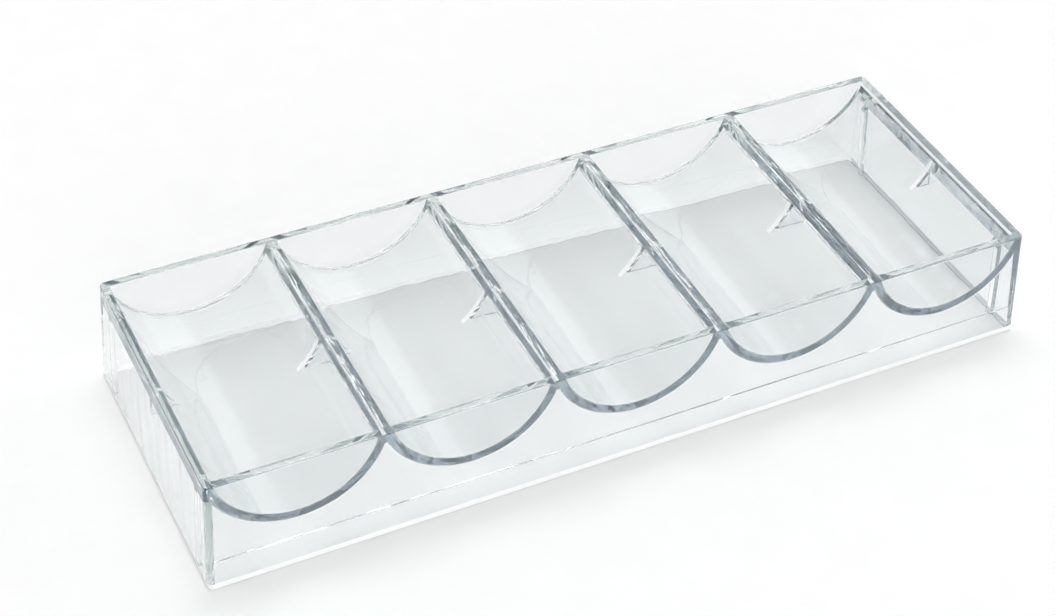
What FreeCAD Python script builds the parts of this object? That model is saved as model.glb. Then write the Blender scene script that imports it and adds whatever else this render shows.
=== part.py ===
"""Clear chip tray: five round-bottomed rows side by side in a thin drafted skirt.

Millimetres. +Z is up, X runs across the rows and Y runs along each row, front to rear.
The origin is the middle of the foot that the tray stands on.

The skirt is four walls. Every face of it leans in a little from foot to rim, and the walls
are thinner at the foot than at the rim. Five curved sheets, the troughs, span from the front
wall to the rear wall. Neighbouring troughs are joined by a flat-topped ridge. A gusset under
each ridge, and one at each end wall, marks the half row. Upright ribs stiffen the end walls.
All pieces are bonded face to face, so neighbours share a face and never overlap.
"""
import FreeCAD, Part

import os

SIZES = {
    "base_length": 206.0,  # outside length at the foot
    "base_depth": 74.0,  # outside depth at the foot
    "tray_height": 28.6,
    "draft_inset": 1.5,  # how far each outer face leans in, foot to rim
    "rim_wall": 2.0,  # wall thickness at the rim
    "foot_wall": 1.6,  # wall thickness at the foot
    "corner_radius": 1.4,  # the four upright outside corners
    "band_height": 7.0,  # relieved band inside the foot of the front and rear walls
    "band_relief": 0.4,
    "row_pitch": 40.5,
    "trough_radius": 19.75,  # a 39 mm chip lies in it with a quarter millimetre to spare
    "trough_sheet": 1.9,
    "axis_height": 34.0,  # the troughs' axes lie above the rim
    "ridge_core": 1.2,  # width of the strip between two troughs
    "gusset_thickness": 1.2,
    "gusset_foot": 19.0,  # height of the gussets' lower edges
    "rib_thickness": 2.0,
    "rib_reach": 1.0,  # how far a rib stands out from its end wall
    "rib_spacing": 58.0,  # between the two ribs of one end wall
    "rib_foot": 0.6,  # the ribs stop short of the table
}
ROW_COUNT = 5
MIDDLE_ROW = (ROW_COUNT + 1) / 2
MARGIN = 5.0  # how far a cutting block runs past the material that it cuts
PIECES_DIR = "parts"

document = FreeCAD.newDocument("chip_tray")
pieces = []


def make_sheet():
    """Put the driving dimensions in a spreadsheet, one row each: name, value."""
    sheet = document.addObject("Spreadsheet::Sheet", "sizes")
    for row, (name, value) in enumerate(SIZES.items(), start=1):
        sheet.set(f"A{row}", name)
        sheet.set(f"B{row}", str(value))
        sheet.setAlias(f"B{row}", name)
    document.recompute()


def outer_x(height):
    """Half the skirt's outside length at a height, as an expression."""
    return f"(sizes.base_length / 2 - sizes.draft_inset * ({height}) / sizes.tray_height)"


def outer_y(height):
    """Half the skirt's outside depth at a height."""
    return f"(sizes.base_depth / 2 - sizes.draft_inset * ({height}) / sizes.tray_height)"


def wall_at(height):
    """Wall thickness at a height."""
    return f"(sizes.foot_wall + (sizes.rim_wall - sizes.foot_wall) * ({height}) / sizes.tray_height)"


def inner_x(height):
    """Half the inside length at a height."""
    return f"({outer_x(height)} - {wall_at(height)})"


def inner_y(height):
    """Half the inside depth at a height."""
    return f"({outer_y(height)} - {wall_at(height)})"


def minus(edge):
    """The mirror image of an edge on the other side of the middle."""
    return lambda height: f"-({edge(height)})"


def level(expression):
    """An upright edge, at the same place at every height."""
    return lambda height: f"({expression})"


def beyond(edge, distance):
    """An edge moved outwards by a distance."""
    return lambda height: f"({edge(height)} + ({distance}))"


def row_axis(row):
    """X of a row's axis. Rows count from 1 at the left, and a half number is a ridge."""
    return f"({row - MIDDLE_ROW} * sizes.row_pitch)"


def bind(target, expressions):
    """Bind an object's properties to expressions over the spreadsheet."""
    for name, expression in expressions.items():
        target.setExpression(name, expression)


def block(name, low, high, x_edges, y_edges, kind="Part::Wedge", parent=None):
    """A block between two heights, whose four sides may lean.

    Each edge is a function of height. The wedge's own Y axis is turned to point up.
    """
    add = parent.newObject if parent else document.addObject
    wedge = add(kind, name)
    wedge.Placement = FreeCAD.Placement(
        FreeCAD.Vector(0, 0, 0), FreeCAD.Rotation(FreeCAD.Vector(1, 0, 0), 90)
    )
    left, right = x_edges
    front, rear = y_edges
    bind(
        wedge,
        {
            "Ymin": low,
            "Ymax": high,
            "Xmin": left(low),
            "Xmax": right(low),
            "Zmin": f"-({rear(low)})",
            "Zmax": f"-({front(low)})",
            "X2min": left(high),
            "X2max": right(high),
            "Z2min": f"-({rear(high)})",
            "Z2max": f"-({front(high)})",
        },
    )
    return wedge


def rod(name, x, z, radius):
    """A cylinder along Y that runs past the tray at both ends."""
    cylinder = document.addObject("Part::Cylinder", name)
    cylinder.Placement = FreeCAD.Placement(
        FreeCAD.Vector(0, 0, 0), FreeCAD.Rotation(FreeCAD.Vector(1, 0, 0), -90)
    )
    bind(
        cylinder,
        {
            "Radius": radius,
            "Height": "sizes.base_depth",
            "Placement.Base.x": x,
            "Placement.Base.y": "-sizes.base_depth / 2",
            "Placement.Base.z": z,
        },
    )
    return cylinder


def boolean(kind, name, base, tool):
    """Cut a tool from a base, or keep what the two share."""
    result = document.addObject(kind, name)
    result.Base = base
    result.Tool = tool
    return result


def cut(name, base, *tools):
    """Cut one or more tools from a base."""
    if len(tools) == 1:
        return boolean("Part::Cut", name, base, tools[0])
    joined = document.addObject("Part::MultiFuse", f"{name}_tools")
    joined.Shapes = list(tools)
    return boolean("Part::Cut", name, base, joined)


def common(name, base, tool):
    """Keep what two solids share."""
    return boolean("Part::Common", name, base, tool)


def finish_piece(piece, label):
    """Name a finished piece and put it on the list of pieces to write."""
    piece.Label = label
    pieces.append(piece)
    return piece


def make_skirt_blank():
    """The skirt's outside as a solid: four leaning faces and rounded upright corners."""
    body = document.addObject("PartDesign::Body", "skirt_blank")
    wedge = block(
        "skirt_wedge",
        "0",
        "sizes.tray_height",
        (minus(outer_x), outer_x),
        (minus(outer_y), outer_y),
        kind="PartDesign::AdditiveWedge",
        parent=body,
    )
    document.recompute()
    upright = [
        f"Edge{number}"
        for number, edge in enumerate(wedge.Shape.Edges, start=1)
        if edge.BoundBox.ZLength > SIZES["tray_height"] / 2
    ]
    corners = body.newObject("PartDesign::Fillet", "skirt_corners")
    corners.Base = (wedge, upright)
    corners.setExpression("Radius", "sizes.corner_radius")
    body.Tip = corners
    return body


def make_long_wall(blank, name, side):
    """The front wall (side -1) or the rear wall (side 1), with both corners of the skirt."""
    past_end = beyond(outer_x, MARGIN)
    past_face = beyond(outer_y, MARGIN)
    beside_band = beyond(inner_y, "sizes.band_relief")
    inside_face = beyond(inner_y, -MARGIN)
    if side < 0:
        zone_y = (minus(past_face), minus(inner_y))
        band_y = (minus(beside_band), minus(inside_face))
    else:
        zone_y = (inner_y, past_face)
        band_y = (inside_face, beside_band)
    zone = block(f"{name}_zone", "0", "sizes.tray_height", (minus(past_end), past_end), zone_y)
    band = block(f"{name}_band", "0", "sizes.band_height", (minus(inner_x), inner_x), band_y)
    plain = common(f"{name}_plain", blank, zone)
    finish_piece(cut(f"{name}_piece", plain, band), name)


def make_end_wall(blank, name, side):
    """The left end wall (side -1) or the right one (side 1), between the long walls."""
    past_end = beyond(outer_x, MARGIN)
    zone_x = (inner_x, past_end) if side > 0 else (minus(past_end), minus(inner_x))
    zone = block(f"{name}_zone", "0", "sizes.tray_height", zone_x, (minus(inner_y), inner_y))
    finish_piece(common(f"{name}_piece", blank, zone), name)


def under_trough(name, row):
    """The solid under-surface of a row's trough, as a full cylinder."""
    return rod(name, row_axis(row), "sizes.axis_height", "sizes.trough_radius + sizes.trough_sheet")


def make_trough(row):
    """One curved sheet. The outer two reach the end walls, the others stop at their ridges."""
    name = f"trough_{row}"
    outside = under_trough(f"{name}_outside", row)
    hollow = rod(f"{name}_hollow", row_axis(row), "sizes.axis_height", "sizes.trough_radius")
    left = level(f"{row_axis(row - 0.5)} + sizes.ridge_core / 2")
    right = level(f"{row_axis(row + 0.5)} - sizes.ridge_core / 2")
    if row == 1:
        left = minus(inner_x)
    if row == ROW_COUNT:
        right = inner_x
    bay = block(f"{name}_bay", "0", "sizes.tray_height", (left, right), (minus(inner_y), inner_y))
    tube = cut(f"{name}_tube", outside, hollow)
    finish_piece(common(f"{name}_piece", tube, bay), name)


def make_ridge(number):
    """The strip between two troughs, with a small groove under it that blends their undersides."""
    name = f"ridge_{number}"
    middle = row_axis(number + 0.5)
    half_span = "(sizes.row_pitch / 2 - sizes.ridge_core / 2)"
    sheet_radius = "(sizes.trough_radius + sizes.trough_sheet)"
    drop = f"sqrt({sheet_radius}^2 - {half_span}^2)"
    groove_radius = f"sizes.ridge_core / 2 * {sheet_radius} / {half_span}"
    groove_height = f"(sizes.axis_height - {drop} * sizes.row_pitch / (2 * {half_span}))"
    left = level(f"{middle} - sizes.ridge_core / 2")
    right = level(f"{middle} + sizes.ridge_core / 2")
    y_edges = (minus(inner_y), inner_y)
    strip = block(f"{name}_strip", groove_height, "sizes.tray_height", (left, right), y_edges)
    groove = rod(f"{name}_groove", middle, groove_height, groove_radius)
    return finish_piece(cut(f"{name}_piece", strip, groove), name)


def half_row_edges():
    """Front and rear edges of a gusset, which stands half-way along the rows."""
    half = level("sizes.gusset_thickness / 2")
    return (minus(half), half)


def make_ridge_gusset(number, ridge):
    """The web that fills the notch under a ridge, down to a level edge."""
    name = f"ridge_gusset_{number}"
    x_edges = (level(row_axis(number)), level(row_axis(number + 1)))
    web = block(f"{name}_web", "sizes.gusset_foot", "sizes.tray_height", x_edges, half_row_edges())
    left_trough = under_trough(f"{name}_left_row", number)
    right_trough = under_trough(f"{name}_right_row", number + 1)
    finish_piece(cut(f"{name}_piece", web, left_trough, right_trough, ridge), name)


def make_end_gusset(name, side, row):
    """The same web between an outer trough and its end wall."""
    middle = level(row_axis(row))
    x_edges = (middle, inner_x) if side > 0 else (minus(inner_x), middle)
    web = block(f"{name}_web", "sizes.gusset_foot", "sizes.tray_height", x_edges, half_row_edges())
    finish_piece(cut(f"{name}_piece", web, under_trough(f"{name}_row", row)), name)


def make_corner_rib(name, side_x, side_y, row):
    """An upright rib on the inner face of an end wall, from just off the table to the trough."""
    face = beyond(inner_x, "-sizes.rib_reach")
    x_edges = (face, inner_x) if side_x > 0 else (minus(inner_x), minus(face))
    place = f"{side_y} * sizes.rib_spacing / 2"
    y_edges = (
        level(f"{place} - sizes.rib_thickness / 2"),
        level(f"{place} + sizes.rib_thickness / 2"),
    )
    bar = block(f"{name}_bar", "sizes.rib_foot", "sizes.tray_height", x_edges, y_edges)
    finish_piece(cut(f"{name}_piece", bar, under_trough(f"{name}_row", row)), name)


def check_and_write():
    """Stop on any failed object or bad solid, then write one STEP file for each piece."""
    document.recompute()
    for item in document.Objects:
        if "Invalid" in item.State or "Error" in item.State:
            raise RuntimeError(f"{item.Name} failed: {item.State}")
    os.makedirs(PIECES_DIR, exist_ok=True)
    for piece in pieces:
        shape = piece.Shape
        if shape.isNull() or not shape.isValid() or len(shape.Solids) != 1:
            raise RuntimeError(f"{piece.Label} is not one valid solid")
        shape.exportStep(f"{PIECES_DIR}/{piece.Label}.step")
        print(f"{piece.Label}: {shape.Volume:.1f} cubic mm")


def main():
    make_sheet()
    blank = make_skirt_blank()
    make_long_wall(blank, "front_wall", -1)
    make_long_wall(blank, "rear_wall", 1)
    make_end_wall(blank, "left_end_wall", -1)
    make_end_wall(blank, "right_end_wall", 1)
    for row in range(1, ROW_COUNT + 1):
        make_trough(row)
    for number in range(1, ROW_COUNT):
        ridge = make_ridge(number)
        make_ridge_gusset(number, ridge)
    for side_name, side_x, row in (("left", -1, 1), ("right", 1, ROW_COUNT)):
        make_end_gusset(f"{side_name}_end_gusset", side_x, row)
        make_corner_rib(f"front_{side_name}_rib", side_x, -1, row)
        make_corner_rib(f"rear_{side_name}_rib", side_x, 1, row)
    check_and_write()


main()
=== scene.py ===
"""Clear chip tray: a thin skirt round five round-bottomed rows, moulded in clear styrene.

Each CAD node is replaced by a detailed piece with the same name and "_clear": finely divided
curves, small rounds on the open edges and fillets where a sheet meets a long wall. The pieces
are one moulding, so where two of them are bonded both faces are fully transparent, and light
only bends where plastic meets air.

Metres. +Z up, X across the rows, Y along them from front to rear.
"""

import itertools
import math

import bmesh
import bpy
from mathutils import Matrix, Vector


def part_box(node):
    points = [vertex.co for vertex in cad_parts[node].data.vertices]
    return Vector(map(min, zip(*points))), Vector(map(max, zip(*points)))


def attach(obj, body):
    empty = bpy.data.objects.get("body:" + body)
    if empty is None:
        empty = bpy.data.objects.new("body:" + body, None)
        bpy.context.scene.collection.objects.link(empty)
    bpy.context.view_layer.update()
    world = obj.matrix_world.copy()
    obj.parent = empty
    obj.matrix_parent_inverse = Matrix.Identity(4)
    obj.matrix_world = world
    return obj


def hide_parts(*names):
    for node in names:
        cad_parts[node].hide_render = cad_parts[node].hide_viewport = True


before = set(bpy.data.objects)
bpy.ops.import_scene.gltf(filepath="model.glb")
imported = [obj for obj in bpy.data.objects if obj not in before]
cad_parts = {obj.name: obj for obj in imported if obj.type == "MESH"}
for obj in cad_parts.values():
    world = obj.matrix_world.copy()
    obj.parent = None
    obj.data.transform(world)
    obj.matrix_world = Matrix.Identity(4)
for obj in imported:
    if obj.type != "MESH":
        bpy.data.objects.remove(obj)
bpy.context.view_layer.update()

# Sizes that the frame gives.
HALF_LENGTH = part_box("front_wall")[1].x
HALF_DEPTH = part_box("rear_wall")[1].y
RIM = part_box("front_wall")[1].z
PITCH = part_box("ridge_2")[1].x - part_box("ridge_1")[1].x
HALF_CORE = (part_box("ridge_1")[1].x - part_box("ridge_1")[0].x) / 2
HALF_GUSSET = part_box("ridge_gusset_1")[1].y
GUSSET_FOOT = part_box("ridge_gusset_1")[0].z
RIB_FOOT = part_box("front_left_rib")[0].z
RIB_ENDS = (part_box("rear_left_rib")[0].y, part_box("rear_left_rib")[1].y)

# Sizes that part.py gives.
DRAFT_INSET = 0.0015
RIM_WALL = 0.0020
FOOT_WALL = 0.0016
CORNER_RADIUS = 0.0014
BAND_HEIGHT = 0.0070
BAND_RELIEF = 0.00040
TROUGH_RADIUS = 0.01975
SHEET = 0.0019
RIB_REACH = 0.0010
ROWS = 5

# The moulding's small rounds.
RIM_ROUND = 0.00030
FOOT_ROUND = 0.00030
INSIDE_ROUND = 0.00015
FILLET = 0.00030
RIB_ROUND = 0.00025
GUSSET_ROUND = 0.00030
FADE = 0.0012  # how far from an inside corner a round has grown to its full size
BAND_SLOPE = 0.00015  # the height of the step's slope, low on the long walls

# The plastic: the share of red, green and blue light that passes each face, and how fast each
# fades inside, for each metre of its path. The rows and ridges take a darker copy of the same
# styrene: painted shade that darkens the arcs, the ridges and what is seen through the rows.
STYRENE_IOR = 1.57
WALL_THROUGH = (0.970, 0.977, 0.977)
WALL_LOSS = (7.0, 5.0, 5.5)
SHADED_ROW_THROUGH = (0.951, 0.961, 0.963)
SHADED_ROW_LOSS = (15.2, 13.0, 11.5)

# The waves that the moulding's flow leaves in its faces: how many to a metre, how high they stand
# on each kind of piece, and how they are squeezed along X, Y and Z.
FLOW_SCALE = 110.0
WALL_FLOW = 0.00005
END_FLOW = 0.00020
ROW_FLOW = 0.00014
RIDGE_FLOW = 0.00130
EVEN = (1.0, 1.0, 1.0)
UPRIGHT = (1.0, 1.0, 0.4)
ALONG_RIDGE = (6.0, 1.0, 3.0)

# Marks on the plastic. The foot is scuffed white up to the first height below, and its white band
# is also a painted highlight for light that the walls carry down to the foot. Where a gusset's
# left edge meets a row, the row has a white painted highlight between the next two heights.
SCUFF_AND_HIGHLIGHT_HEIGHT = 0.0016
PAINTED_HIGHLIGHT_FOOT = 0.0193
PAINTED_HIGHLIGHT_TOP = 0.0266
SCRATCH_SCALE = 1800.0
SCRATCH_ROUGHNESS = (0.35, 0.70)

SAME_PLACE = 5e-7  # points closer than this are one point
PINCHED = 1e-14  # a cross product no longer than this gives no direction
ROUND_STEPS = 5
FADE_STEPS = 6
ARC_STEPS = 72
EDGE_STEPS = 8
GROOVE_STEPS = 12

UNDER_RADIUS = TROUGH_RADIUS + SHEET
AXIS_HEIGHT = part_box("trough_3")[0].z + UNDER_RADIUS
HALF_SPAN = PITCH / 2 - HALF_CORE
GROOVE_RADIUS = HALF_CORE * UNDER_RADIUS / HALF_SPAN
GROOVE_HEIGHT = AXIS_HEIGHT - math.sqrt(UNDER_RADIUS**2 - HALF_SPAN**2) * (PITCH / 2) / HALF_SPAN


def outer_x(z):
    return HALF_LENGTH - DRAFT_INSET * z / RIM


def outer_y(z):
    return HALF_DEPTH - DRAFT_INSET * z / RIM


def wall(z):
    return FOOT_WALL + (RIM_WALL - FOOT_WALL) * z / RIM


def inner_x(z):
    return outer_x(z) - wall(z)


def inner_y(z):
    return outer_y(z) - wall(z)


def row_x(row):
    """X of a row's axis; half numbers are ridges."""
    return (row - (ROWS + 1) / 2) * PITCH


def spread(start, end, steps):
    """Evenly spaced values from start to end, both included."""
    return [start + (end - start) * i / steps for i in range(steps + 1)]


def eased(share):
    """A share between 0 and 1, made to start and to end softly."""
    return share**2 * (3 - 2 * share)


def quarter():
    """Angles from 0 to 90 degrees for a round."""
    return spread(0.0, math.pi / 2, ROUND_STEPS)


def grey(tone):
    """A grey as a colour."""
    return (tone, tone, tone, 1.0)


def new_material(name):
    """A node material with an empty tree but for its output."""
    material = bpy.data.materials.new(name)
    material.use_nodes = True
    nodes = material.node_tree.nodes
    nodes.clear()
    return material, nodes, material.node_tree.links, nodes.new("ShaderNodeOutputMaterial")


def add_noise(nodes, links, scale, detail, grain=EVEN):
    """Noise through the whole part: scale is in cells a metre, and grain squeezes it."""
    where = nodes.new("ShaderNodeTexCoord")
    stretch = nodes.new("ShaderNodeVectorMath")
    stretch.operation = "MULTIPLY"
    stretch.inputs[1].default_value = grain
    links.new(where.outputs["Object"], stretch.inputs[0])
    noise = nodes.new("ShaderNodeTexNoise")
    noise.inputs["Scale"].default_value = scale
    noise.inputs["Detail"].default_value = detail
    links.new(stretch.outputs["Vector"], noise.inputs["Vector"])
    return noise.outputs["Fac"]


def add_range(nodes, links, value, low, high):
    """A noise value, which is nearly always between 0.3 and 0.7, spread from low to high."""
    spread_out = nodes.new("ShaderNodeMapRange")
    spread_out.inputs["From Min"].default_value = 0.3
    spread_out.inputs["From Max"].default_value = 0.7
    spread_out.inputs["To Min"].default_value = low
    spread_out.inputs["To Max"].default_value = high
    links.new(value, spread_out.inputs["Value"])
    return spread_out.outputs["Result"]


def add_fading(nodes, links, loss):
    """The share of each colour that is left after the last straight stretch of the light's path."""
    path = nodes.new("ShaderNodeLightPath")
    kept = nodes.new("ShaderNodeCombineColor")
    for channel, rate in zip(("Red", "Green", "Blue"), loss):
        power = nodes.new("ShaderNodeMath")
        power.operation = "MULTIPLY"
        power.inputs[1].default_value = -rate
        links.new(path.outputs["Ray Length"], power.inputs[0])
        share = nodes.new("ShaderNodeMath")
        share.operation = "EXPONENT"
        links.new(power.outputs["Value"], share.inputs[0])
        links.new(share.outputs["Value"], kept.inputs[channel])
    return kept.outputs["Color"]


def add_turned_back(nodes, links):
    """The share of the light inside the plastic that its surface turns back, and 0 outside."""
    reflected = nodes.new("ShaderNodeFresnel")
    reflected.inputs["IOR"].default_value = STYRENE_IOR
    side = nodes.new("ShaderNodeNewGeometry")
    inside = nodes.new("ShaderNodeMath")
    inside.operation = "MULTIPLY"
    links.new(reflected.outputs["Fac"], inside.inputs[0])
    links.new(side.outputs["Backfacing"], inside.inputs[1])
    return inside.outputs["Value"]


def make_clear_plastic(name, through, loss, flow_height, grain):
    """Clear styrene. Light that goes straight through a sheet stays nearly white. Light that the
    surfaces keep inside it fades along the way, so the sheets look dark where they are seen
    edge-on.
    """
    material, nodes, links, output = new_material(name)
    glass = nodes.new("ShaderNodeBsdfGlass")
    glass.inputs["IOR"].default_value = STYRENE_IOR
    glass.inputs["Roughness"].default_value = 0.0
    tint = nodes.new("ShaderNodeMix")
    tint.data_type = "RGBA"
    tint.inputs["A"].default_value = (*through, 1.0)
    links.new(add_fading(nodes, links, loss), tint.inputs["B"])
    links.new(add_turned_back(nodes, links), tint.inputs["Factor"])
    links.new(tint.outputs["Result"], glass.inputs["Color"])
    flow = nodes.new("ShaderNodeBump")
    flow.inputs["Distance"].default_value = flow_height
    waves = add_noise(nodes, links, scale=FLOW_SCALE, detail=1.5, grain=grain)
    links.new(waves, flow.inputs["Height"])
    links.new(flow.outputs["Normal"], glass.inputs["Normal"])
    links.new(glass.outputs["BSDF"], output.inputs["Surface"])
    return material


def make_white_haze(name, tone, through, least_haze):
    """Plastic with a white matt face, for the white marks: the foot's bands, which are partly scuffs
    and partly painted highlights, and the rows' marks, which are painted highlights. least_haze is
    the share of haze where the face is clearest, and through is the share of the haze's light that
    goes on inwards and isn't thrown back.
    """
    material, nodes, links, output = new_material(name)
    glass = nodes.new("ShaderNodeBsdfGlass")
    glass.inputs["Color"].default_value = grey(0.99)
    glass.inputs["IOR"].default_value = STYRENE_IOR
    scratches = add_noise(nodes, links, scale=SCRATCH_SCALE, detail=3.0)
    links.new(add_range(nodes, links, scratches, *SCRATCH_ROUGHNESS), glass.inputs["Roughness"])
    back = nodes.new("ShaderNodeBsdfDiffuse")
    back.inputs["Color"].default_value = grey(tone)
    on = nodes.new("ShaderNodeBsdfTranslucent")
    on.inputs["Color"].default_value = grey(tone)
    haze = nodes.new("ShaderNodeMixShader")
    haze.inputs["Fac"].default_value = through
    links.new(back.outputs["BSDF"], haze.inputs[1])
    links.new(on.outputs["BSDF"], haze.inputs[2])
    both = nodes.new("ShaderNodeMixShader")
    links.new(add_range(nodes, links, scratches, least_haze, 1.0), both.inputs["Fac"])
    links.new(glass.outputs["BSDF"], both.inputs[1])
    links.new(haze.outputs["Shader"], both.inputs[2])
    links.new(both.outputs["Shader"], output.inputs["Surface"])
    return material


def make_bond():
    """Where two pieces of the moulding are one: nothing to see."""
    material, nodes, links, output = new_material("bond")
    through = nodes.new("ShaderNodeBsdfTransparent")
    links.new(through.outputs["BSDF"], output.inputs["Surface"])
    return material


wall_plastic = make_clear_plastic("clear_wall", WALL_THROUGH, WALL_LOSS, WALL_FLOW, EVEN)
end_plastic = make_clear_plastic("clear_end_wall", WALL_THROUGH, WALL_LOSS, END_FLOW, UPRIGHT)
# The rows and the ridges: the darker copy of the styrene, which is painted shade.
shaded_row_plastic = make_clear_plastic("clear_row", SHADED_ROW_THROUGH, SHADED_ROW_LOSS, ROW_FLOW, EVEN)
shaded_ridge_plastic = make_clear_plastic("clear_ridge", SHADED_ROW_THROUGH, SHADED_ROW_LOSS, RIDGE_FLOW, ALONG_RIDGE)
# The foot's white band, partly a scuff and partly a painted highlight.
scuff_and_highlight = make_white_haze("scuff_and_highlight_plastic", tone=0.97, through=0.0, least_haze=0.75)
# The rear foot's band, frosted so that it shows from inside: partly a scuff, partly a painted
# highlight.
frost_and_highlight = make_white_haze("frost_and_highlight_plastic", tone=0.97, through=0.95, least_haze=0.75)
# A white painted highlight where a gusset's root meets a row.
painted_highlight = make_white_haze("painted_highlight_plastic", tone=1.0, through=0.0, least_haze=0.96)
bond = make_bond()


# A face's finish: clear plastic, bonded to the next piece, scuffed white and a painted highlight,
# frosted so that light still comes through and a painted highlight, or a white painted highlight.
# The numbers are those of the slots that Shell.build fills.
CLEAR, BONDED, SCUFF_AND_HIGHLIGHT, FROST_AND_HIGHLIGHT, PAINTED_HIGHLIGHT = range(5)


class Shell:
    """A closed mesh put together from patches that share their border points."""

    def __init__(self):
        self.index = {}
        self.points = []
        self.faces = []
        self.normals = []
        self.finishes = []

    def corner(self, point):
        """The number of a point, shared with any earlier point at the same place.

        A point near the border of a cell is filed in the cells on both sides of it.
        """
        sides = ({round(v / SAME_PLACE - 0.25), round(v / SAME_PLACE + 0.25)} for v in point)
        cells = list(itertools.product(*sides))
        for cell in cells:
            if cell in self.index:
                return self.index[cell]
        for cell in cells:
            self.index[cell] = len(self.points)
        self.points.append(Vector(point))
        return len(self.points) - 1

    def face(self, points, normals, finish):
        """One face, without repeated corners. A face that shrinks to a line is left out."""
        corners, kept = [], []
        for point, normal in zip(points, normals):
            number = self.corner(point)
            if number not in corners:
                corners.append(number)
                kept.append(normal)
        if len(corners) > 2:
            self.faces.append(corners)
            self.normals.append(kept)
            self.finishes.append(finish)

    def patch(self, grid, finish=lambda centre: CLEAR):
        """A smooth surface through a grid of points. finish gives a face's finish at its centre."""
        grid = [[Vector(p) for p in line] for line in grid]
        last_i, last_j = len(grid) - 1, len(grid[0]) - 1

        def along(i, j):
            return grid[min(i + 1, last_i)][j] - grid[max(i - 1, 0)][j]

        def across(i, j):
            return grid[i][min(j + 1, last_j)] - grid[i][max(j - 1, 0)]

        def normal(i, j):
            """The normal at a grid point; where the grid pinches, that of the nearest open place."""
            for step in range(4):
                for k in (i - step, i + step):
                    if 0 <= k <= last_i:
                        found = along(k, j).cross(across(k, j))
                        if found.length > PINCHED:
                            return found.normalized()
            return Vector((0, 0, 0))

        normals = [[normal(i, j) for j in range(last_j + 1)] for i in range(last_i + 1)]
        for i in range(last_i):
            for j in range(last_j):
                ring = ((i, j), (i + 1, j), (i + 1, j + 1), (i, j + 1))
                places = [grid[a][b] for a, b in ring]
                centre = sum(places, Vector()) / 4
                self.face(places, [normals[a][b] for a, b in ring], finish(centre))

    def flat(self, outline, finish=CLEAR):
        """One flat face inside an outline."""
        self.face(outline, [None] * len(outline), finish)

    def build(self, name, material):
        """The mesh object, closed, with its normals outwards."""
        mesh = bpy.data.meshes.new(name)
        mesh.from_pydata([tuple(p) for p in self.points], [], self.faces)
        for slot_material in (material, bond, scuff_and_highlight, frost_and_highlight, painted_highlight):
            mesh.materials.append(slot_material)
        for polygon, finish in zip(mesh.polygons, self.finishes):
            polygon.material_index = finish
            polygon.use_smooth = True
        work = bmesh.new()
        work.from_mesh(mesh)
        open_edges = sum(1 for edge in work.edges if len(edge.link_faces) != 2)
        bmesh.ops.recalc_face_normals(work, faces=work.faces)
        if work.calc_volume(signed=True) < 0:
            bmesh.ops.reverse_faces(work, faces=work.faces)
        outwards = {face.index: face.normal.copy() for face in work.faces}
        cubic_mm = work.calc_volume() * 1e9
        work.to_mesh(mesh)
        work.free()
        loops = []
        for polygon, corners, normals in zip(mesh.polygons, self.faces, self.normals):
            wanted = dict(zip(corners, normals))
            for vertex in polygon.vertices:
                normal = wanted[vertex]
                if normal is None or normal.length < 0.5:
                    normal = polygon.normal
                elif normal.dot(outwards[polygon.index]) < 0:
                    normal = -normal
                loops.append(normal)
        mesh.normals_split_custom_set([tuple(n) for n in loops])
        piece = bpy.data.objects.new(name, mesh)
        bpy.context.scene.collection.objects.link(piece)
        print(f"{name}: {len(mesh.polygons)} faces, {cubic_mm:.1f} cubic mm, {open_edges} open edges")
        return piece


def wall_angle(row, radius, inset=0.0):
    """The angle, from straight down, at which an arc about an outer row's axis meets its end wall."""
    side = 1 if row == ROWS else -1
    angle = math.radians(65)  # a first guess, which each turn brings closer
    for _ in range(40):
        z = AXIS_HEIGHT - radius * math.cos(angle)
        reach = inner_x(z) - inset - side * row_x(row)
        angle = math.asin(reach / radius)
    return angle


def on_arc(row, radius, angle):
    """A point (x, z) on an arc about a row's axis. Angles are from straight down, positive to +X."""
    return (row_x(row) + radius * math.sin(angle), AXIS_HEIGHT - radius * math.cos(angle))


def meets_wall(row, side):
    """True where a trough ends on an end wall, and false where it ends on a ridge."""
    return (row == 1 and side < 0) or (row == ROWS and side > 0)


def upper_line(row, flare, edge_round):
    """A trough's upper outline at one station along it, left to right, as (x, z).

    flare is how far the fillet at the wall stands in from the trough's own radius there.
    """
    radius = TROUGH_RADIUS - flare
    ends, edges = {}, {}
    for side in (-1, 1):
        if meets_wall(row, side):
            ends[side], edges[side] = wall_angle(row, radius), []
            continue
        rim_angle = math.acos((AXIS_HEIGHT - RIM) / radius)
        ends[side] = rim_angle - edge_round / radius
        foot = on_arc(row, radius, side * ends[side])
        corner = on_arc(row, radius, side * rim_angle)
        top = (corner[0] + side * edge_round, RIM)
        bend = []
        for t in spread(0.0, 1.0, ROUND_STEPS)[1:]:
            bend.append(
                tuple(
                    (1 - t) ** 2 * a + 2 * t * (1 - t) * b + t**2 * c
                    for a, b, c in zip(foot, corner, top)
                )
            )
        edges[side] = bend + [(row_x(row) + side * HALF_SPAN, RIM)]
    arc = [on_arc(row, radius, a) for a in spread(-ends[-1], ends[1], ARC_STEPS)]
    return edges[-1][::-1] + arc + edges[1]


def lower_line(row, flare):
    """A trough's underside at one station, left to right, with a point at each gusset and rib."""
    radius = UNDER_RADIUS + flare
    gusset = math.acos((AXIS_HEIGHT - GUSSET_FOOT) / UNDER_RADIUS)
    outer = {}
    for side in (-1, 1):
        if meets_wall(row, side):
            stops = (wall_angle(row, radius, RIB_REACH), wall_angle(row, radius))
        else:
            end = math.asin(HALF_SPAN / radius)
            stops = ((gusset + end) / 2, end)
        outer[side] = spread(gusset, stops[0], EDGE_STEPS)[1:] + spread(*stops, EDGE_STEPS)[1:]
    angles = [-a for a in outer[-1][::-1]] + spread(-gusset, gusset, ARC_STEPS) + outer[1]
    return [on_arc(row, radius, a) for a in angles]


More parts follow.
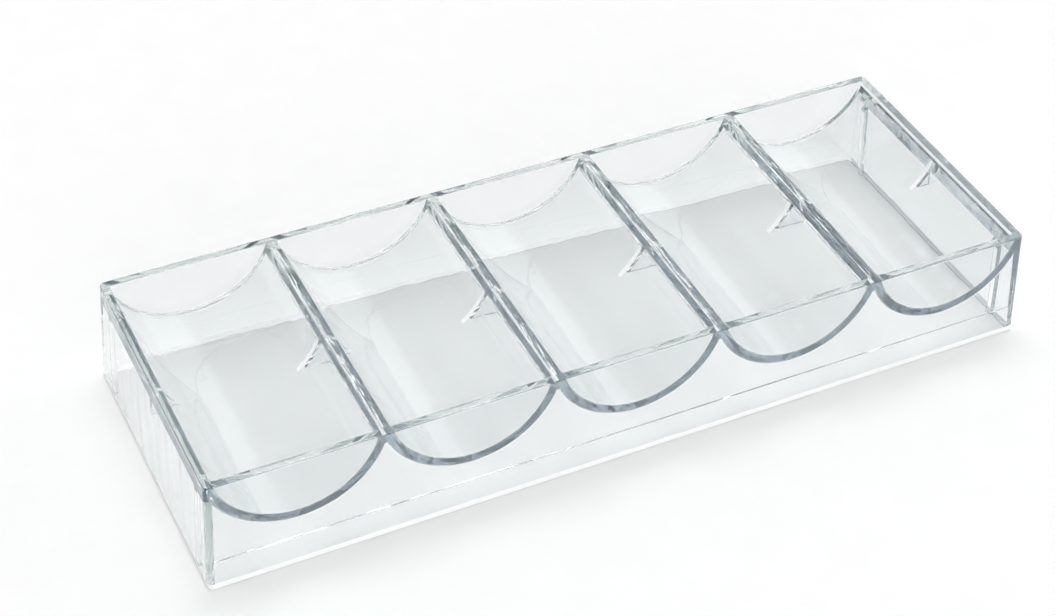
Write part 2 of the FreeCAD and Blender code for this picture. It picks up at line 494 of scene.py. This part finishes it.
def groove_line(number, flare):
    """A ridge's underside at one station: the two troughs' undersides blended by a groove."""
    middle = row_x(number + 0.5)
    radius = UNDER_RADIUS + flare
    small = GROOVE_RADIUS - flare
    blend = PITCH / 2 - radius * HALF_SPAN / UNDER_RADIUS
    flank = []
    for x in spread(HALF_CORE, blend, 2)[:-1]:
        flank.append((x, AXIS_HEIGHT - math.sqrt(radius**2 - (PITCH / 2 - x) ** 2)))
    limit = math.asin(min(blend / small, 1.0))
    crest = []
    for a in spread(-limit, limit, GROOVE_STEPS):
        crest.append((small * math.sin(a), GROOVE_HEIGHT + small * math.cos(a)))
    line = [(-x, z) for x, z in flank] + crest + flank[::-1]
    return [(middle + x, z) for x, z in line]


def stations():
    """The stations along a row: (place, flare, edge round). place(z) gives Y at a height.

    Near a wall a station leans with it, to keep its distance. Elsewhere it is upright.
    """
    near = []
    for angle in quarter():
        near.append((FILLET * (1 - math.cos(angle)), FILLET * (1 - math.sin(angle)), 0.0))
    for share in (0.25, 0.5, 0.75, 1.0):
        near.append((FILLET + FADE * share, 0.0, INSIDE_ROUND * eased(share)))
    result = []
    for gap, flare, grown in near:
        result.append((lambda z, gap=gap: gap - inner_y(z), flare, grown))
    levels = (-RIB_ENDS[1], -RIB_ENDS[0], -HALF_GUSSET, HALF_GUSSET, *RIB_ENDS)
    for level in levels:
        result.append((lambda z, level=level: level, 0.0, INSIDE_ROUND))
    for gap, flare, grown in near[::-1]:
        result.append((lambda z, gap=gap: inner_y(z) - gap, flare, grown))
    return result


STATIONS = stations()


def at_station(line, place):
    """An outline's points in space at one station."""
    return [(x, place(z), z) for x, z in line]


def under_finish(centre):
    """The finish of an underside at a place: bonded where a gusset or a rib meets it."""
    under_gusset = abs(centre.y) < HALF_GUSSET and centre.z > GUSSET_FOOT
    beside_wall = abs(centre.x) > inner_x(centre.z) - RIB_REACH
    under_rib = beside_wall and RIB_ENDS[0] < abs(centre.y) < RIB_ENDS[1]
    return BONDED if under_gusset or under_rib else CLEAR


def trough(row):
    """One curved sheet with rounded top edges, flared by fillets where it meets the long walls."""
    shell = Shell()

    def upper_finish(centre):
        """A white painted highlight over the left edge of the gusset on the row's right, and clear
        elsewhere.
        """
        over_gusset = abs(centre.y) < HALF_GUSSET and PAINTED_HIGHLIGHT_FOOT < centre.z < PAINTED_HIGHLIGHT_TOP
        return PAINTED_HIGHLIGHT if over_gusset and centre.x > row_x(row) else CLEAR

    upper, lower = [], []
    for place, flare, edge_round in STATIONS:
        upper.append(at_station(upper_line(row, flare, edge_round), place))
        lower.append(at_station(lower_line(row, flare), place))
    shell.patch(upper, upper_finish)
    shell.patch(lower, under_finish)
    for end in (0, -1):
        shell.patch([(u[end], l[end]) for u, l in zip(upper, lower)], lambda c: BONDED)
        shell.flat(upper[end] + lower[end][::-1], BONDED)
    return shell.build(f"trough_{row}_clear", shaded_row_plastic)


def ridge(number):
    """The strip that joins two troughs, flat on top and grooved below."""
    shell = Shell()
    middle = row_x(number + 0.5)
    top_line = [(middle - HALF_CORE, RIM), (middle + HALF_CORE, RIM)]
    upper, lower = [], []
    for place, flare, _ in STATIONS:
        upper.append(at_station(top_line, place))
        lower.append(at_station(groove_line(number, flare), place))
    shell.patch(upper)
    shell.patch(lower, under_finish)
    for end in (0, -1):
        shell.patch([(u[end], l[end]) for u, l in zip(upper, lower)], lambda c: BONDED)
        shell.flat(upper[end] + lower[end][::-1], BONDED)
    return shell.build(f"ridge_{number}_clear", shaded_ridge_plastic)


def skirt_levels():
    """(z, inset) up the outside of the skirt, with a round at the foot and at the rim."""
    levels = []
    for a in quarter():
        levels.append((FOOT_ROUND * (1 - math.cos(a)), FOOT_ROUND * (1 - math.sin(a))))
    # The top of the foot's white band, which is partly a scuff and partly a painted highlight.
    levels.append((SCUFF_AND_HIGHLIGHT_HEIGHT, 0.0))
    for a in quarter():
        levels.append((RIM - RIM_ROUND * (1 - math.sin(a)), RIM_ROUND * (1 - math.cos(a))))
    return levels


def long_outline(side, z, inset):
    """The outside of a long wall at one height, from the left end wall round to the right one."""
    centre_x = outer_x(z) - CORNER_RADIUS
    centre_y = outer_y(z) - CORNER_RADIUS
    radius = CORNER_RADIUS - inset
    right = [(outer_x(z) - inset, side * inner_y(z), z)]
    for a in spread(0.0, math.pi / 2, EDGE_STEPS):
        x = centre_x + radius * math.cos(a)
        right.append((x, side * (centre_y + radius * math.sin(a)), z))
    return [(-x, y, z) for x, y, z in right] + right[::-1]


def fading(stops, start, end, size):
    """Round radii along an edge that has its full size except near both inside corners."""
    sizes = []
    for x in stops:
        share = min((x - start) / FADE, (end - x) / FADE, 1.0)
        sizes.append(size * eased(max(share, 0.0)))
    return sizes


def fade_stops(start, end):
    """Places along an edge: close together near its ends, where the round fades."""
    near = [FADE * share for share in spread(0.0, 1.0, FADE_STEPS)]
    return [start + n for n in near] + [end - n for n in near[::-1]]


def long_wall(side):
    """The front wall (side -1) or the rear wall (1), with both upright corners of the skirt."""
    shell = Shell()
    levels = skirt_levels()
    outside = [long_outline(side, z, inset) for z, inset in levels]
    # The foot's white band: partly a scuff, partly a painted highlight for light that the wall carries
    # down to the foot. At the rear it is frosted, so that it shows lit from inside.
    rubbed_and_highlight = SCUFF_AND_HIGHLIGHT if side < 0 else FROST_AND_HIGHLIGHT
    shell.patch(outside, lambda c: rubbed_and_highlight if c.z < SCUFF_AND_HIGHLIGHT_HEIGHT else CLEAR)

    def inside(x, z, into=0.0):
        """A point on the inner face, or a distance into the wall from it."""
        return (x, side * (inner_y(z) + into), z)

    def face_line(line):
        return [inside(x, z) for x, z in line]

    def edge_round(stops, sizes, z_edge, upwards, offset):
        """The rounded edge of the inner face at the rim or the foot."""
        grid = []
        for a in quarter():
            line = []
            for x, size in zip(stops, sizes):
                z = z_edge - upwards * size * (1 - math.sin(a))
                line.append(inside(x, z, offset + size * (1 - math.cos(a))))
            grid.append(line)
        shell.patch(grid)
        return grid

    rim_edge, under_edge = [], []
    for row in range(1, ROWS + 1):
        upper = upper_line(row, FILLET, 0.0)
        lower = lower_line(row, FILLET)
        shell.flat(face_line(upper) + face_line(lower)[::-1], BONDED)
        pocket = [p for p in upper if p[1] < RIM - SAME_PLACE]
        corners = [p for p in upper if p[1] >= RIM - SAME_PLACE]
        starts = -inner_x(RIM) if row == 1 else max(x for x, _ in corners if x < row_x(row))
        ends = inner_x(RIM) if row == ROWS else min(x for x, _ in corners if x > row_x(row))
        stops = fade_stops(starts, ends)
        grid = edge_round(stops, fading(stops, starts, ends, INSIDE_ROUND), RIM, 1, 0.0)
        shell.flat(face_line(pocket) + grid[0][::-1])
        rim_edge += grid[-1]
        under_edge += face_line(lower)
        if row < ROWS:
            middle = row_x(row + 0.5)
            groove = groove_line(row, FILLET)
            top = [(middle - HALF_CORE, RIM), (middle + HALF_CORE, RIM)]
            shell.flat(face_line(top) + face_line(groove)[::-1], BONDED)
            rim_edge += face_line(top)
            under_edge += face_line(groove)

    band = (
        (BAND_HEIGHT + BAND_SLOPE, 0.0),
        (BAND_HEIGHT, BAND_RELIEF),
    )
    slope = [[inside(sign * inner_x(z), z, into) for sign in (-1, 1)] for z, into in band]
    shell.flat(slope[0] + slope[1][::-1])
    shell.flat(under_edge + slope[0][::-1])
    stops = fade_stops(-inner_x(0.0), inner_x(0.0))
    sizes = fading(stops, stops[0], stops[-1], FOOT_ROUND)
    foot = edge_round(stops, sizes, 0.0, -1, BAND_RELIEF)
    shell.flat(slope[1] + foot[0][::-1])
    for end, sign, row in ((0, -1, 1), (-1, 1, ROWS)):
        corner = inside(sign * inner_x(0.0), 0.0)
        shell.flat([slope[0][end], slope[1][end], foot[0][end], corner])
        column = [line[end] for line in outside]
        column.append(inside(sign * inner_x(RIM), RIM))
        column.append(inside(*upper_line(row, FILLET, 0.0)[end]))
        column.append(inside(*lower_line(row, FILLET)[end]))
        shell.flat(column + [slope[0][end], corner], BONDED)
    shell.flat(outside[-1] + rim_edge[::-1])
    corners = [inside(-inner_x(0.0), 0.0), inside(inner_x(0.0), 0.0)]
    shell.flat(outside[0] + [corners[1]] + foot[-1][::-1] + [corners[0]])
    return shell.build("front_wall_clear" if side < 0 else "rear_wall_clear", wall_plastic)


def end_wall(side):
    """The left end wall (side -1) or the right one (1), between the two long walls."""
    shell = Shell()
    row = 1 if side < 0 else ROWS
    end = 0 if side < 0 else -1

    def inside(y, z, into=0.0):
        """A point on the inner face, or a distance into the wall from it."""
        return (side * (inner_x(z) + into), y, z)

    outside = []
    for z, inset in skirt_levels():
        outside.append([(side * (outer_x(z) - inset), way * inner_y(z), z) for way in (-1, 1)])
    # The end walls' foot band is white too: partly a scuff, partly a painted highlight.
    shell.patch(outside, lambda c: SCUFF_AND_HIGHLIGHT if c.z < SCUFF_AND_HIGHLIGHT_HEIGHT else CLEAR)

    def edge_round(z_edge, upwards, full):
        """The rounded edge of the inner face at the rim or the foot."""
        stops = fade_stops(-inner_y(z_edge), inner_y(z_edge))
        sizes = fading(stops, stops[0], stops[-1], full)
        grid = []
        for a in quarter():
            line = []
            for y, size in zip(stops, sizes):
                z = z_edge - upwards * size * (1 - math.sin(a))
                line.append(inside(y, z, size * (1 - math.cos(a))))
            grid.append(line)
        shell.patch(grid)
        return grid

    rim_grid = edge_round(RIM, 1, INSIDE_ROUND)
    foot_grid = edge_round(0.0, -1, FOOT_ROUND)
    high, low = [], []
    for place, flare, edge in STATIONS:
        high.append(at_station(upper_line(row, flare, edge), place)[end])
        low.append(at_station(lower_line(row, flare), place)[end])
    shell.patch([high, low], lambda c: BONDED)
    shell.flat(high + rim_grid[0][::-1])

    border = []
    for number, point in enumerate(low):
        border.append(point)
        for start, floor in notches():
            if abs(point[1] - start) < SAME_PLACE:
                edge = [inside(y, z) for y, z in floor]
                border += edge
                shell.flat([point] + edge + [low[number + 1]], BONDED)
    shell.flat(border + foot_grid[0][::-1])

    shell.flat(outside[-1] + rim_grid[-1][::-1])
    shell.flat(outside[0] + foot_grid[-1][::-1])
    for far in (0, -1):
        column = [line[far] for line in outside]
        shell.flat(column + [rim_grid[0][far], high[far], low[far], foot_grid[0][far]], BONDED)
    # The right end wall takes the rows' darker copy of the styrene: painted shade, so that it looks
    # darker than the left one.
    plastic = end_plastic if side < 0 else shaded_row_plastic
    return shell.build("left_end_wall_clear" if side < 0 else "right_end_wall_clear", plastic)


def notches():
    """Where ribs and the gusset stand on an end wall: the Y that each starts at, and its foot."""
    near, far = RIB_ENDS
    return (
        (-far, [(-far, RIB_FOOT), (-near, RIB_FOOT)]),
        (-HALF_GUSSET, gusset_bend()),
        (near, [(near, RIB_FOOT), (far, RIB_FOOT)]),
    )


def gusset_bend():
    """(y, z) under a gusset, from its front face round to its rear face."""
    front = []
    for a in quarter():
        y = -HALF_GUSSET + GUSSET_ROUND * (1 - math.cos(a))
        front.append((y, GUSSET_FOOT + GUSSET_ROUND * (1 - math.sin(a))))
    return front + [(-y, z) for y, z in front[::-1]]


def gusset(name, left, right, top):
    """A web between two surfaces: left and right give X at a height, and top lists the points above."""
    shell = Shell()
    bend = gusset_bend()
    high_left, high_right = top[0][1], top[-1][1]
    shell.patch([[(left(z), y, z), (right(z), y, z)] for y, z in bend])
    for edge, high in ((left, high_left), (right, high_right)):
        grid = []
        for y, z in bend:
            grid.append([(edge(level), y, level) for level in spread(z, high, EDGE_STEPS)])
        shell.patch(grid, lambda c: BONDED)
    shell.patch([[(x, y, z) for x, z in top] for y, _ in bend], lambda c: BONDED)
    for y, z in (bend[0], bend[-1]):
        left_side = [(left(level), y, level) for level in spread(z, high_left, EDGE_STEPS)]
        right_side = [(right(level), y, level) for level in spread(z, high_right, EDGE_STEPS)]
        middle = [(x, y, level) for x, level in top]
        shell.flat(left_side + middle + right_side[::-1])
    return shell.build(name, wall_plastic)


def underside_x(row, side):
    """X of a trough's underside at a height, on one side of its axis."""
    return lambda z: row_x(row) + side * math.sqrt(UNDER_RADIUS**2 - (AXIS_HEIGHT - z) ** 2)


def ridge_gusset(number):
    """The web under a ridge, half-way along the rows."""
    name = f"ridge_gusset_{number}_clear"
    top = groove_line(number, 0.0)
    return gusset(name, underside_x(number, 1), underside_x(number + 1, -1), top)


def end_gusset(side):
    """The web between an outer trough and its end wall."""
    row = 1 if side < 0 else ROWS
    top = [lower_line(row, 0.0)[0 if side < 0 else -1]]
    edges = (lambda z: side * inner_x(z), underside_x(row, side))
    left, right = edges if side < 0 else edges[::-1]
    return gusset("left_end_gusset_clear" if side < 0 else "right_end_gusset_clear", left, right, top)


def rib(name, side, way):
    """An upright rib on an end wall, with rounded edges, up to the outer trough's underside."""
    shell = Shell()
    row = 1 if side < 0 else ROWS
    near, far = RIB_ENDS
    bend = []
    for a in quarter():
        bend.append((RIB_REACH - RIB_ROUND * (1 - math.sin(a)), RIB_ROUND * (1 - math.cos(a))))
    outline = [(0.0, near)]
    outline += [(reach, near + along) for reach, along in bend]
    outline += [(reach, far - along) for reach, along in bend[::-1]]
    outline.append((0.0, far))
    foot, head = [], []
    for reach, y in outline:
        z = AXIS_HEIGHT - UNDER_RADIUS * math.cos(wall_angle(row, UNDER_RADIUS, reach))
        foot.append((side * (inner_x(RIB_FOOT) - reach), way * y, RIB_FOOT))
        head.append((side * (inner_x(z) - reach), way * y, z))
    shell.patch([foot, head])
    shell.flat(foot)
    shell.flat(head, BONDED)
    shell.flat([foot[0], foot[-1], head[-1], head[0]], BONDED)
    return shell.build(name, wall_plastic)


def make_pieces():
    """Every piece of the moulding, each standing for the CAD node of the same name."""
    pieces = [long_wall(-1), long_wall(1), end_wall(-1), end_wall(1)]
    for row in range(1, ROWS + 1):
        pieces.append(trough(row))
    for number in range(1, ROWS):
        pieces.append(ridge(number))
        pieces.append(ridge_gusset(number))
    for side_name, side in (("left", -1), ("right", 1)):
        pieces.append(end_gusset(side))
        pieces.append(rib(f"front_{side_name}_rib_clear", side, -1))
        pieces.append(rib(f"rear_{side_name}_rib_clear", side, 1))
    for piece in pieces:
        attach(piece, "root")
        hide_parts(piece.name.removesuffix("_clear"))


def make_floor():
    """A wide white table top, faintly mottled and grained, just under the tray's foot."""
    mesh = bpy.data.meshes.new("floor")
    half = 3.0
    corners = [(-half, -half, 0.0), (half, -half, 0.0), (half, half, 0.0), (-half, half, 0.0)]
    mesh.from_pydata(corners, [], [(0, 1, 2, 3)])
    material, nodes, links, output = new_material("white_table")
    mottle = add_range(nodes, links, add_noise(nodes, links, scale=90.0, detail=4.0), 0.0, 1.0)
    tone = nodes.new("ShaderNodeMix")
    tone.data_type = "RGBA"
    tone.inputs["A"].default_value = grey(0.893)
    tone.inputs["B"].default_value = grey(0.907)
    links.new(mottle, tone.inputs["Factor"])
    paint = nodes.new("ShaderNodeBsdfDiffuse")
    links.new(tone.outputs["Result"], paint.inputs["Color"])
    grain = nodes.new("ShaderNodeBump")
    grain.inputs["Distance"].default_value = 0.00002
    links.new(add_noise(nodes, links, scale=2500.0, detail=2.0), grain.inputs["Height"])
    links.new(grain.outputs["Normal"], paint.inputs["Normal"])
    links.new(paint.outputs["BSDF"], output.inputs["Surface"])
    mesh.materials.append(material)
    floor = bpy.data.objects.new("floor", mesh)
    floor.location.z = -0.00005  # so that the foot never shares a plane with the table
    bpy.context.scene.collection.objects.link(floor)


def make_camera():
    """The photograph's view: left of the front, looking down, with a slight roll."""
    place = Vector((-0.1865, -0.3428, 0.3564))
    aim = Vector((-0.0018, 0.0177, 0.0))
    roll = math.radians(2.2)
    data = bpy.data.cameras.new("camera")
    data.sensor_width = 36.0
    data.lens = 75.5
    data.clip_start = 0.01
    camera = bpy.data.objects.new("camera", data)
    turn = (aim - place).to_track_quat("-Z", "Y").to_matrix().to_4x4()
    camera.matrix_world = Matrix.Translation(place) @ turn @ Matrix.Rotation(roll, 4, "Z")
    bpy.context.scene.collection.objects.link(camera)
    bpy.context.scene.camera = camera


def towards(azimuth, elevation):
    """A direction. Azimuths are from +Y, the rear, towards +X, the right."""
    azimuth, elevation = math.radians(azimuth), math.radians(elevation)
    level = math.cos(elevation)
    return Vector((level * math.sin(azimuth), level * math.cos(azimuth), math.sin(elevation)))


# The studio: an even room, and soft panels. Each panel has how much brighter than the room it is,
# and its soft edges. An edge is a direction, and the cosines to it at which the panel starts and
# is full.
ROOM = 0.33
DOWN = towards(0, -90)
OVERHEAD = (6.1, ((towards(15, 76), 0.90, 0.98),))
LOW_REAR = (0.42, ((towards(10, 0), 0.0, 0.15), (DOWN, -0.80, -0.72)))
LOW_FRONT = (3.3, ((towards(190, 0), 0.82, 0.92),))
LOW_RIGHT = (0.85, ((DOWN, -0.68, -0.56), (towards(115, 0), -0.12, 0.10)))
PANELS = (OVERHEAD, LOW_REAR, LOW_FRONT, LOW_RIGHT)


def make_light():
    """An even studio: a dim pale room with large soft panels."""
    world = bpy.data.worlds.new("studio")
    bpy.context.scene.world = world
    world.use_nodes = True
    nodes, links = world.node_tree.nodes, world.node_tree.links
    nodes.clear()
    output = nodes.new("ShaderNodeOutputWorld")
    back = nodes.new("ShaderNodeBackground")
    where = nodes.new("ShaderNodeTexCoord")

    def calculate(operation, first, second):
        """A Math node's result, from sockets or numbers."""
        node = nodes.new("ShaderNodeMath")
        node.operation = operation
        for value, socket in zip((first, second), node.inputs):
            if isinstance(value, float):
                socket.default_value = value
            else:
                links.new(value, socket)
        return node.outputs["Value"]

    total = ROOM
    for brightness, edges in PANELS:
        share = brightness
        for direction, start, full in edges:
            cosine = nodes.new("ShaderNodeVectorMath")
            cosine.operation = "DOT_PRODUCT"
            cosine.inputs[1].default_value = direction
            links.new(where.outputs["Generated"], cosine.inputs[0])
            edge = nodes.new("ShaderNodeMapRange")
            edge.interpolation_type = "SMOOTHSTEP"
            edge.inputs["From Min"].default_value = start
            edge.inputs["From Max"].default_value = full
            links.new(cosine.outputs["Value"], edge.inputs["Value"])
            share = calculate("MULTIPLY", edge.outputs["Result"], share)
        total = calculate("ADD", share, total)
    links.new(total, back.inputs["Strength"])
    links.new(back.outputs["Background"], output.inputs["Surface"])


def set_render():
    """Enough bounces for light that runs inside the sheets, and plain display colours."""
    scene = bpy.context.scene
    scene.cycles.max_bounces = 48
    scene.cycles.glossy_bounces = 48
    scene.cycles.transmission_bounces = 48
    scene.cycles.transparent_max_bounces = 96
    scene.cycles.diffuse_bounces = 3
    scene.cycles.blur_glossy = 0.0
    scene.view_settings.view_transform = "Standard"


make_pieces()
make_floor()
make_camera()
make_light()
set_render()
